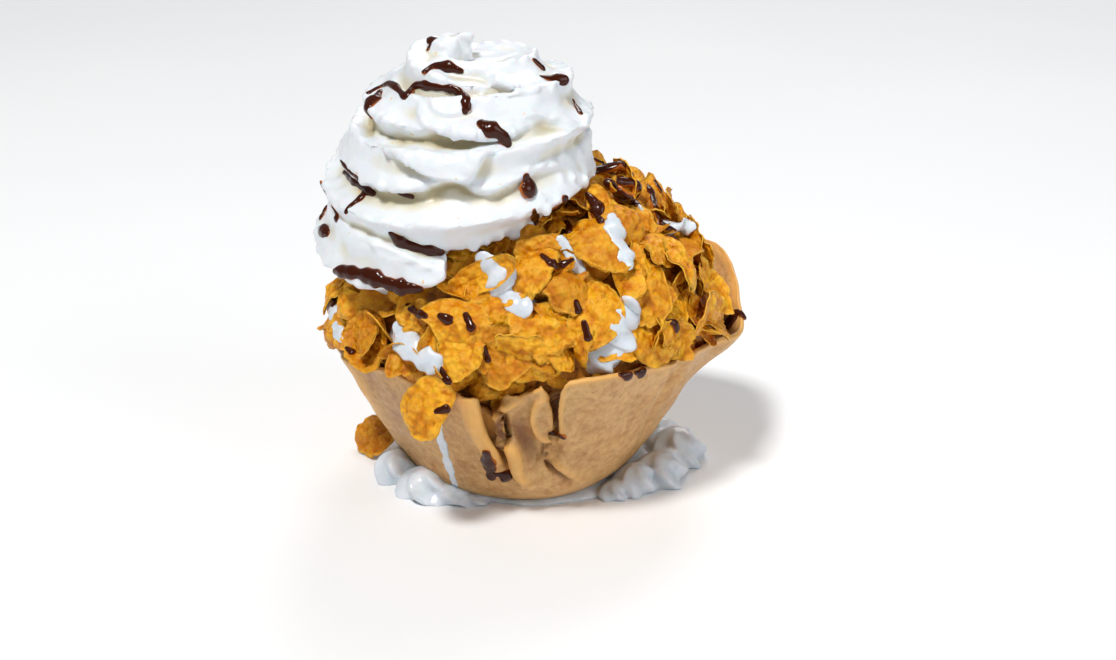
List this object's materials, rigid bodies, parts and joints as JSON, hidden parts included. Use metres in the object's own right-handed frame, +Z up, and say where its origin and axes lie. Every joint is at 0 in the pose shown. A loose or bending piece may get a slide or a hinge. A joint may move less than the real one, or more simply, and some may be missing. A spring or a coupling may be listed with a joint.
{
  "type": "fried ice cream",
  "caption": "Fried ice cream: an ice cream ball coated in corn flakes, set in a pleated fried tortilla bowl, under a tilted swirl of whipped cream with chocolate sauce.",
  "frame": {"origin": "centre of the tortilla bowl's flat bottom, on the surface that the dessert stands on", "axes": "+Z up; -Y towards the front, the side that the picture shows; +X to the right as seen from the front"},
  "size_m": [0.14, 0.1201, 0.1466],
  "materials": {
    "fried_tortilla": "fried, matt with a light sheen of oil, blistered",
    "flakes_and_ice_cream": "crisp blistered flakes over glossy ice cream",
    "whipped_cream": "soft satin",
    "melted_cream": "wet gloss",
    "corn_flake": "crisp, blistered"
  },
  "bodies": {
    "root": {"tortilla_shell": "fried_tortilla", "flaked_ice_cream": "flakes_and_ice_cream", "whipped_cream": "whipped_cream", "base_cream": "melted_cream", "fallen_flake": "corn_flake"}
  },
  "joints": []
}
